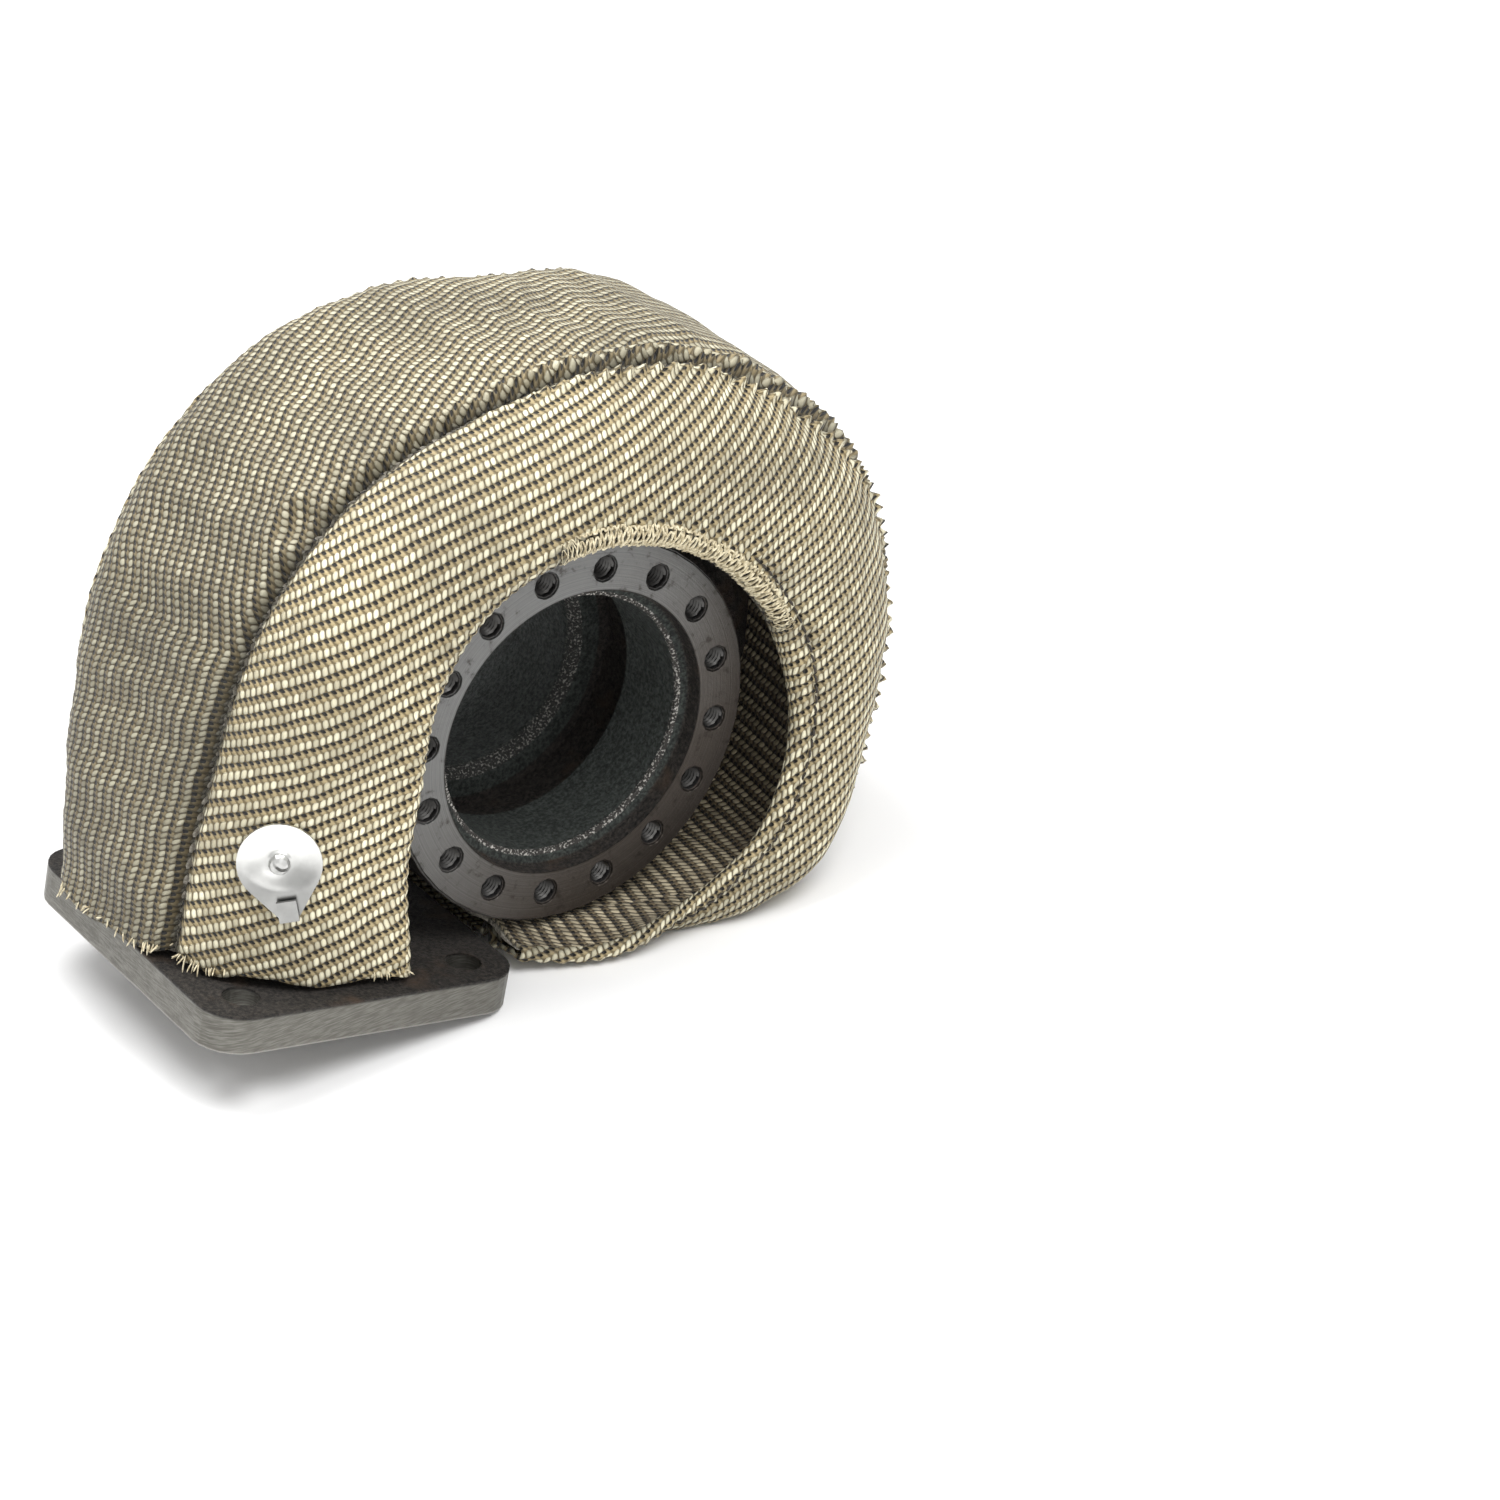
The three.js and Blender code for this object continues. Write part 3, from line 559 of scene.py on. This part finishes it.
# The lining: the outer cloth's weave in darker colours, a painted shade for the inside of the blanket
shaded_lining_cloth = woven("lining_cloth", rgb(0.10, 0.076, 0.044), rgb(0.22, 0.17, 0.10),
                   rgb(0.74, 0.64, 0.44), rgb(0.010, 0.008, 0.005), 0.0009)
mat = needled()
stainless = dished(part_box("lacing_hook_front"))
# The thread steel is very dark: painted shade inside the tapped holes
thread_steel = steel("thread_steel", rgb(0.085, 0.083, 0.08), 0.45)
cast_iron = iron()
yarn = yarn_material("yarn", rgb(0.40, 0.33, 0.20), rgb(0.82, 0.74, 0.53))
dark_yarn = yarn_material("dark_yarn", rgb(0.020, 0.016, 0.011), rgb(0.05, 0.04, 0.028))

# Panels of the blanket
PANELS = {
    "front": (0.0, FRONT_SEAM - SEAM_SHARE),
    "band": (FRONT_SEAM + SEAM_SHARE, REAR_SEAM - SEAM_SHARE),
    "rear": (REAR_SEAM + SEAM_SHARE, 1.0),
}
SEAMED_EDGES = {
    "front": ((-1, FRONT_SEAM),),
    "band": ((0, FRONT_SEAM), (-1, REAR_SEAM)),
    "rear": ((0, REAR_SEAM),),
}
STEP = 1.05
turns = sweep_turns(STEP)


def seam_run(share):
    """Distance along the sweep at a share, from the foot of the leg."""
    line = outside(turns, np.array([share]))[:, 0]
    return np.concatenate([[0], np.cumsum(np.linalg.norm(np.diff(line, axis=0), axis=1))])


RUN = {share: seam_run(share) for share in (HEM, FRONT_SEAM, MIDDLE, REAR_SEAM)}


def seam_relief(run, gap, turn):
    """Puckers, ridge and valley of a stitched seam, outward in millimetres."""
    top = step_between(turn, 55, 85)
    wave = noise(run / 4.6, gap * 0 + 3.3, 11) + 0.6 * noise(run / 2.6 + gap * 0.2, gap * 0.1, 12)
    stitch = np.cos(2 * math.pi * (run + gap * 0.8) / 4.6 + 1.5 * noise(run / 17, gap * 0, 13))
    valley = -(3.2 - 1.3 * top) * np.exp(-((gap / 1.9) ** 2)) * (1 + 0.35 * stitch)
    uneven = 0.7 + 0.55 * stitch + 0.35 * wave
    ridge = (0.7 + 1.9 * top) * np.exp(-(((gap - 3.4) / 2.1) ** 2)) * uneven
    spread = 0.55 * wave * np.exp(-((gap / 13) ** 2)) * (1 - np.exp(-((gap / 3) ** 2)))
    return valley + ridge + spread


def relief(name, turn, run, gap_front, gap_rear, across, width):
    """Everything that makes the outside of a panel uneven, outward in millimetres."""
    out = 0.9 * noise(run / 34, across / 26, 21) + 0.35 * noise(run / 11, across / 9, 22)
    if name != "rear":
        out = out + seam_relief(run, gap_front, turn)
    if name != "front":
        out = out + 0.5 * seam_relief(run + 40, gap_rear, turn)
    if name == "band":
        middle = np.sin(math.pi * np.clip(across / width, 0, 1))
        ripple = np.cos(2 * math.pi * run / 17 + 2.2 * noise(run / 30, across / 30, 23))
        out = out + 0.55 * middle * ripple
        snag = (run - 132) ** 2 / 5.5**2 + (across - 5) ** 2 / 4.0**2
        out = out - 2.2 * np.exp(-snag) + 1.4 * np.exp(-((np.sqrt(snag) - 1.7) ** 2) * 2.5)
    if name == "front":
        out = out + 0.5 * np.exp(-((across / 7) ** 2)) * np.cos(2 * math.pi * run / 5.2)
        out = out - hem_groove(turn, run, across)
    return out


def hem_groove(turn, run, across):
    """Groove that the running stitch pulls beside the opening, from 0 to 1."""
    side = step_between(turn, 112, 135)
    stitch = 0.75 + 0.25 * np.cos(2 * math.pi * run / 4.2)
    return side * np.exp(-(((across - 2.8) / 1.3) ** 2)) * stitch


def weave_cells(name, turn, run, across):
    """Where each point lies in the weave: cells along a row, and rows."""
    if name == "band":
        lean = 0.5 * np.maximum(run - 90, 0) - 0.25 * np.maximum(run - 250, 0)
        return -run / 1.9, (across - lean) / 3.7
    angle = math.pi - np.radians(np.maximum(turn, 0))
    radius = 66 + across
    x = radius * np.cos(angle)
    z = radius * np.sin(angle) + np.minimum(turn, 0)
    lean = 0.45 * x + 0.5 * 60 * np.logaddexp(0, (x - 10) / 18) * 18 / 60
    return (x * 0.87 + z * 0.5) / 2.0, (z - lean) / 4.7


surfaces = {}


def panel(name):
    """The outer cloth of a panel: its outside, the roll round the hem and its raw ends."""
    start, end = PANELS[name]
    shares = np.linspace(start, end, int(72 / STEP))
    here, _, normal = frame_at(turns, shares)
    for edge, seam in SEAMED_EDGES[name]:
        _, _, n = frame_at(turns, np.array([seam]))
        normal[:, edge] = n[:, 0]
    flat = np.linalg.norm(np.diff(here, axis=1), axis=2)
    across = np.concatenate([np.zeros((len(turns), 1)), np.cumsum(flat, axis=1)], 1)
    width = across[:, -1:]
    near = {"front": FRONT_SEAM, "band": MIDDLE, "rear": REAR_SEAM}[name]
    run = np.repeat(RUN[near][:, None], len(shares), 1)
    turn = np.repeat(turns[:, None], len(shares), 1)
    gap_front = width - across if name == "front" else across
    gap_rear = across if name == "rear" else width - across
    out = relief(name, turn, run, gap_front, gap_rear, across, width)
    out = out - pinch(turns, shares)
    nearest = np.minimum(gap_front if name != "rear" else 99, gap_rear if name != "front" else 99)
    # Painted shade in the stitched seams' creases, darkest in the slit
    shade = 1 - 0.45 * np.exp(-((nearest / 2.6) ** 2)) - 0.4 * np.exp(-((nearest / 1.1) ** 2))
    # Painted shade: the front is darker past turn 95, and again along the lip past turn 195
    if name == "front":
        shade = shade * (1 - 0.1 * step_between(turn, 95, 135) - 0.16 * step_between(turn, 195, 235))
    # Painted shade: the band is darkened throughout, most at its start near the leg
    if name == "band":
        shade = shade * (0.46 + 0.2 * step_between(turn, 15, 60) - 0.08 * step_between(turn, 80, 120))
    verts = here + normal * out[..., None]
    if name == "rear":
        across = width - across
    if name != "band":
        # Roll of the cloth round the hem, to the lining
        share = 0.0 if name == "front" else 1.0
        column = 0 if name == "front" else -1
        _, a, n = frame_at(turns, np.array([share]))
        radius = thick_at(turns, np.array([share])) / 2
        centre = here[:, column] - n[:, 0] * radius
        away = -1 if name == "front" else 1
        steps = np.arange(1, ROLL_STEPS + 1)
        rolled = ROLL_DEGREES * steps / ROLL_STEPS
        roll = np.radians(90 - rolled)
        swell = radius + out[:, column][:, None] * np.clip(1 - steps / 12, 0, 1)[None, :]
        hem = (centre[:, None] + a * (away * swell * np.cos(roll)[None, :])[..., None]
               + n * (swell * np.sin(roll)[None, :])[..., None])
        arc = -radius * np.radians(rolled)[None, :]
        # Painted shade that deepens as the roll turns under towards the lining
        hem_shade = np.repeat((1 - 0.5 * step_between(steps, 6, 18))[None, :], len(turns), 0)
        if name == "front":
            # Painted shade under the overlock yarns, so that they stand out
            overlock_shade = (step_between(turns, 60, 70) - step_between(turns, 145, 155))[:, None]
            hem_shade = hem_shade * (1 - 0.72 * overlock_shade)
            hem, arc, hem_shade = hem[:, ::-1], arc[:, ::-1], hem_shade[:, ::-1]
            verts = np.concatenate([hem, verts], 1)
            across = np.concatenate([arc, across], 1)
            shade = np.concatenate([hem_shade, shade], 1)
        else:
            verts = np.concatenate([verts, hem], 1)
            across = np.concatenate([across, arc], 1)
            shade = np.concatenate([shade, hem_shade], 1)
    columns = verts.shape[1]
    turn = np.repeat(turns[:, None], columns, 1)
    run = np.repeat(RUN[near][:, None], columns, 1)
    cells = weave_cells(name, turn, run, across)
    # Raw ends: an uneven edge at the foot of the leg, turned in by the cloth's thickness
    down = np.clip(1 - (turns - FIRST_TURN) / 7, 0, 1)[:, None] ** 2
    verts[..., 2] += down * (1.2 * noise(np.arange(columns)[None, :] / 7.0, down * 0, 31) + 0.3)
    surfaces[name] = verts.copy()
    inner = [verts[0] - normal_of(verts)[0] * OUTER_CLOTH]
    back = [verts[-1] - normal_of(verts)[-1] * OUTER_CLOTH]
    verts = np.concatenate([[inner[0] + (0, 0, 4)], inner, verts, back], 0)
    rows = verts.shape[0]
    u, v = (np.concatenate([c[:1], c[:1], c, c[-1:]], 0) for c in cells)
    # Painted shade on the turned-in raw ends: the rows folded inward are darkened
    shade = np.concatenate([shade[:1] * 0.2, shade[:1] * 0.5, shade, shade[-1:] * 0.5], 0)
    weave = np.stack([u, v, u * 0], -1).reshape(-1, 3)
    faces = grid_faces(rows, columns)[:, ::-1]
    made = make_mesh(f"outer_cloth_panel_{name}", verts.reshape(-1, 3), faces, cloth,
                     {"weave": weave, "shade": shade.ravel()})
    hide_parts(f"outer_cloth_{name}")
    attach(made, "root")


def normal_of(grid):
    """Normals of a grid of points."""
    du = np.gradient(grid, axis=0)
    dv = np.gradient(grid, axis=1)
    return unit(np.cross(du, dv))


def lining_panel(name):
    """The inner cloth of a panel, closed along its rims."""
    start, end = PANELS[name]
    few = sweep_turns(STEP * 2)
    shares = np.linspace(start, end, 40)
    here, _, normal = frame_at(few, shares)
    depth = thick_at(few, shares)
    line = outside(few, np.array([0.5]))[:, 0]
    run = np.concatenate([[0], np.cumsum(np.linalg.norm(np.diff(line, axis=0), axis=1))])[:, None]
    flat = np.linalg.norm(np.diff(here, axis=1), axis=2)
    across = np.concatenate([np.zeros((len(few), 1)), np.cumsum(flat, axis=1)], 1)
    depth = depth - 0.35 * noise(run / 16, across / 12, 41)
    if name == "front":
        tuck = ((few[:, None] - 198) / 8) ** 2 + ((across - 15) / 9) ** 2
        depth = depth + 4.5 * np.exp(-tuck)
    low = here - normal * depth[..., None]
    high = here - normal * (depth - LINING)[..., None]
    columns = len(shares)
    count = len(few) * columns
    faces = closed_faces(len(few), columns, count)
    cells = np.stack([across / 2.14, (run + 0.15 * across) / 4.4, across * 0], -1).reshape(-1, 3)
    verts = np.concatenate([low.reshape(-1, 3), high.reshape(-1, 3)])
    # A further painted shade of 0.85 over the whole lining
    made = make_mesh(f"lining_panel_{name}", verts, faces, shaded_lining_cloth,
                     {"weave": np.concatenate([cells, cells]), "shade": np.ones(2 * count) * 0.85})
    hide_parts(f"inner_lining_{name}")
    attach(made, "root")


def closed_faces(rows, columns, count):
    """Faces of a closed sheet: an inner grid, an outer grid and their rims."""
    return np.concatenate([grid_faces(rows, columns), grid_faces(rows, columns, count)[:, ::-1],
                           edge_faces(rows, columns, count)])


def edge_faces(rows, columns, count):
    """Quads that close two grids of the same size along their rims."""
    loop = [(0, j) for j in range(columns)]
    loop += [(i, columns - 1) for i in range(1, rows)]
    loop += [(rows - 1, j) for j in range(columns - 2, -1, -1)]
    loop += [(i, 0) for i in range(rows - 2, 0, -1)]
    ids = np.array([i * columns + j for i, j in loop])
    after = np.roll(ids, -1)
    return np.stack([after, ids, ids + count, after + count], -1)


def mat_panel(name):
    """The needled mat between the two cloths of a panel."""
    start, end = PANELS[name]
    few = sweep_turns(4)
    shares = np.linspace(start, end, 16)
    here, _, normal = frame_at(few, shares)
    thick = thick_at(few, shares)
    upper = pinch(few, shares) + OUTER_CLOTH + 2.2
    lower = thick - LINING - 0.3
    upper = np.minimum(upper, lower - 0.4)
    columns = len(shares)
    high = here - normal * upper[..., None]
    low = here - normal * lower[..., None]
    verts = np.concatenate([high.reshape(-1, 3), low.reshape(-1, 3)])
    faces = closed_faces(len(few), columns, len(few) * columns)[:, ::-1]
    made = make_mesh(f"mat_{name}", verts, faces, mat)
    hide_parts(f"insulation_mat_{name}")
    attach(made, "root")


for panel_name in PANELS:
    panel(panel_name)
    lining_panel(panel_name)
    mat_panel(panel_name)


# Yarns on the cloth
def tube(path, radius, sides=6):
    """Vertices and faces of a thin closed tube along a path."""
    path = np.asarray(path, float)
    along_path = unit(np.gradient(path, axis=0))
    side = unit(np.cross(along_path, np.array([0.31, 0.52, 0.79])))
    up = np.cross(along_path, side)
    size = radius * np.sqrt(np.clip(1 - np.linspace(-1, 1, len(path)) ** 6, 0.05, 1))
    a = np.arange(sides) / sides * 2 * math.pi
    ring = side[:, None] * np.cos(a)[None, :, None] + up[:, None] * np.sin(a)[None, :, None]
    verts = (path[:, None] + ring * size[:, None, None]).reshape(-1, 3)
    i = np.arange(len(path) - 1)[:, None] * sides + np.arange(sides)[None, :]
    j = np.arange(len(path) - 1)[:, None] * sides + (np.arange(sides) + 1)[None, :] % sides
    return verts, np.stack([i, j, j + sides, i + sides], -1).reshape(-1, 4)


def tubes(name, paths, radius, material):
    """One piece of many thin tubes."""
    verts, faces, first = [], [], 0
    for path in paths:
        v, f = tube(path, radius)
        verts.append(v)
        faces.append(f + first)
        first += len(v)
    made = make_mesh(name, np.concatenate(verts), np.concatenate(faces), material)
    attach(made, "root")


def run_at(turn):
    """Distance along the hem at a turn."""
    return float(np.interp(turn, turns, RUN[HEM]))


def cloth_point(name, run, column, lift=0.3):
    """Point on a finished panel, a little above its surface."""
    grid = surfaces[name]
    row = np.interp(run, RUN[HEM], np.arange(len(turns)))
    i = int(np.clip(row, 1, len(turns) - 2))
    j = int(np.clip(column, 1, grid.shape[1] - 2))
    u = row - i
    here = grid[i, j] * (1 - u) + grid[i + 1, j] * u
    out = np.cross(grid[i + 1, j] - grid[i - 1, j], grid[i, j + 1] - grid[i, j - 1])
    return here + out / np.linalg.norm(out) * lift


def overlock():
    """Zigzag and border yarns over the rolled edge of the opening."""
    run = np.arange(run_at(66), run_at(150), 0.4)
    paths = []
    for phase in (0.0, 0.5):
        saw = np.abs(((run / 3.4 + phase + 0.2 * noise(run / 9, run * 0, 51)) % 1) * 2 - 1)
        columns = 12 + 6.5 * saw + 0.3 * noise(run / 2, run * 0 + phase * 9, 52)
        lifts = 0.25 + 0.45 * np.sin(math.pi * saw) * (1 if phase else 0.4)
        paths.append([cloth_point("front", r, c, h) for r, c, h in zip(run, columns, lifts)])
    for column in (12.5, 18.5):
        drift = 0.5 * noise(run / 5, run * 0, int(column))
        columns = column + 0.7 * np.sin(2 * math.pi * run / 1.7) + drift
        paths.append([cloth_point("front", r, c, 0.35) for r, c in zip(run, columns)])
    tubes("overlock_yarns", paths, 0.34, yarn)


def running_stitch():
    """Dark thread that sews the hem down, in short stitches."""
    length = 2.6
    paths = []
    for run in np.arange(run_at(126), run_at(240), 3.3):
        column = 21.5 + 0.5 * math.sin(run / 7)
        paths.append([cloth_point("front", run + at, column, 0.3 * math.sin(math.pi * at / length))
                      for at in np.linspace(0, length, 6)])
    tubes("running_stitches", paths, 0.42, dark_yarn)


def frays():
    """Loose yarn ends on the raw edge at the foot of the leg."""
    down = np.array([0, 0, -1.0])
    paths, spots = [], []
    for name, low, high, count in (("front", 0.80, 0.99, 16), ("front", 0.18, 0.30, 9),
                                   ("band", 0.01, 0.2, 12), ("band", 0.2, 0.9, 14)):
        spots += [(name, rng.uniform(low, high)) for _ in range(count)]
    for name, place in spots:
        grid = surfaces[name]
        j = int(place * (grid.shape[1] - 2)) + 1
        beside = min(j + 1, grid.shape[1] - 1)
        start = grid[2, j] + rng.uniform(-0.4, 0.4, 3)
        out = unit(np.cross(grid[3, j] - grid[1, j], grid[2, beside] - grid[2, j - 1]))
        drop = down * rng.uniform(1.2, 3.2) + out * rng.uniform(0.6, 2.6)
        drop = drop + rng.uniform(-1, 1, 3)
        bend = rng.uniform(-1, 1, 3) * 0.8
        paths.append([start + drop * t + bend * t * t for t in np.linspace(0, 1, 6)])
    tubes("frayed_yarns", paths, 0.22, yarn)


overlock()
running_stitch()
frays()


# Threads in the tapped holes of the ring
def tapped_threads():
    segments, turns_in = 32, 7
    steps = segments * turns_in
    verts, faces = [], []
    for hole in range(HOLES):
        angle = 2 * math.pi * hole / HOLES
        middle = np.array([BOLT_CIRCLE * math.cos(angle), 0, BOLT_CIRCLE * math.sin(angle)])
        k = np.arange(steps + 1)
        a = 2 * math.pi * k / segments
        depth = THREAD_START + PITCH * k / segments
        ring = []
        for radius, shift in ((THREAD_RADIUS, 0.12), (THREAD_RADIUS - THREAD_DEPTH, PITCH / 2),
                              (THREAD_RADIUS, PITCH - 0.12)):
            ring.append(middle + np.stack([radius * np.cos(a), depth + shift, radius * np.sin(a)], -1))
        verts.append(np.stack(ring, 1).reshape(-1, 3))
        base = hole * (steps + 1) * 3
        faces.append(grid_faces(steps + 1, 3, base))
    made = make_mesh("tapped_threads", np.concatenate(verts), np.concatenate(faces), thread_steel)
    made.data.polygons.foreach_set("use_smooth", np.zeros(len(made.data.polygons), bool))
    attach(made, "root")


tapped_threads()

# Materials of the rigid pieces
for node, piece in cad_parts.items():
    if piece.hide_render:
        continue
    finish = cast_iron if node == "turbine_housing" else stainless
    piece.data.materials.clear()
    piece.data.materials.append(finish)

# Floor, light and background
FLOOR = 6
LIT_POINT = (0, 0, 0.08)
floor_mesh = bpy.data.meshes.new("floor")
corners = [(-FLOOR, -FLOOR, 0), (FLOOR, -FLOOR, 0), (FLOOR, FLOOR, 0), (-FLOOR, FLOOR, 0)]
floor_mesh.from_pydata(corners, [], [(0, 1, 2, 3)])
floor = bpy.data.objects.new("floor", floor_mesh)
bpy.context.scene.collection.objects.link(floor)
paper = Tree("floor_paper")
paper.set(Base_Color=rgb(0.93, 0.93, 0.93), Roughness=0.9)
floor_mesh.materials.append(paper.material)


def area_light(name, place, size, power):
    """Round lamp that looks at the part's middle."""
    data = bpy.data.lights.new(name, "AREA")
    data.shape = "DISK"
    data.size = size
    data.energy = power
    lamp = bpy.data.objects.new(name, data)
    bpy.context.scene.collection.objects.link(lamp)
    lamp.location = place
    lamp.rotation_mode = "QUATERNION"
    lamp.rotation_quaternion = (Vector(LIT_POINT) - Vector(place)).to_track_quat("-Z", "Y")


area_light("key", (0.20, -0.60, 1.10), 0.8, 10)
area_light("overhead", (-0.25, 0.30, 1.15), 0.8, 12)
area_light("fill", (-0.7, -1.4, 0.4), 0.6, 2.5)

# The sky lights the part from above, and is seen as plain white
world = bpy.data.worlds.new("world")
bpy.context.scene.world = world
world.use_nodes = True
nodes, links = world.node_tree.nodes, world.node_tree.links
soft = nodes["Background"]
sky_place = nodes.new("ShaderNodeTexCoord")
sky_split = nodes.new("ShaderNodeSeparateXYZ")
links.new(sky_place.outputs["Generated"], sky_split.inputs[0])
sky_ramp = nodes.new("ShaderNodeMapRange")
for n, level in enumerate((-0.2, 0.9, 0.14, 0.75)):
    sky_ramp.inputs[n + 1].default_value = level
links.new(sky_split.outputs[2], sky_ramp.inputs[0])
soft.inputs[0].default_value = rgb(1, 1, 1)
links.new(sky_ramp.outputs[0], soft.inputs[1])
white = nodes.new("ShaderNodeBackground")
white.inputs[0].default_value = rgb(1, 1, 1)
white.inputs[1].default_value = 1.0
path = nodes.new("ShaderNodeLightPath")
blend = nodes.new("ShaderNodeMixShader")
seen = path.outputs["Is Camera Ray"]
for ray in ("Is Glossy Ray", "Is Transmission Ray"):
    either = nodes.new("ShaderNodeMath")
    either.operation = "MAXIMUM"
    links.new(seen, either.inputs[0])
    links.new(path.outputs[ray], either.inputs[1])
    seen = either.outputs[0]
links.new(seen, blend.inputs[0])
links.new(soft.outputs[0], blend.inputs[1])
links.new(white.outputs[0], blend.inputs[2])
links.new(blend.outputs[0], nodes["World Output"].inputs[0])
bpy.context.scene.view_settings.view_transform = "Standard"
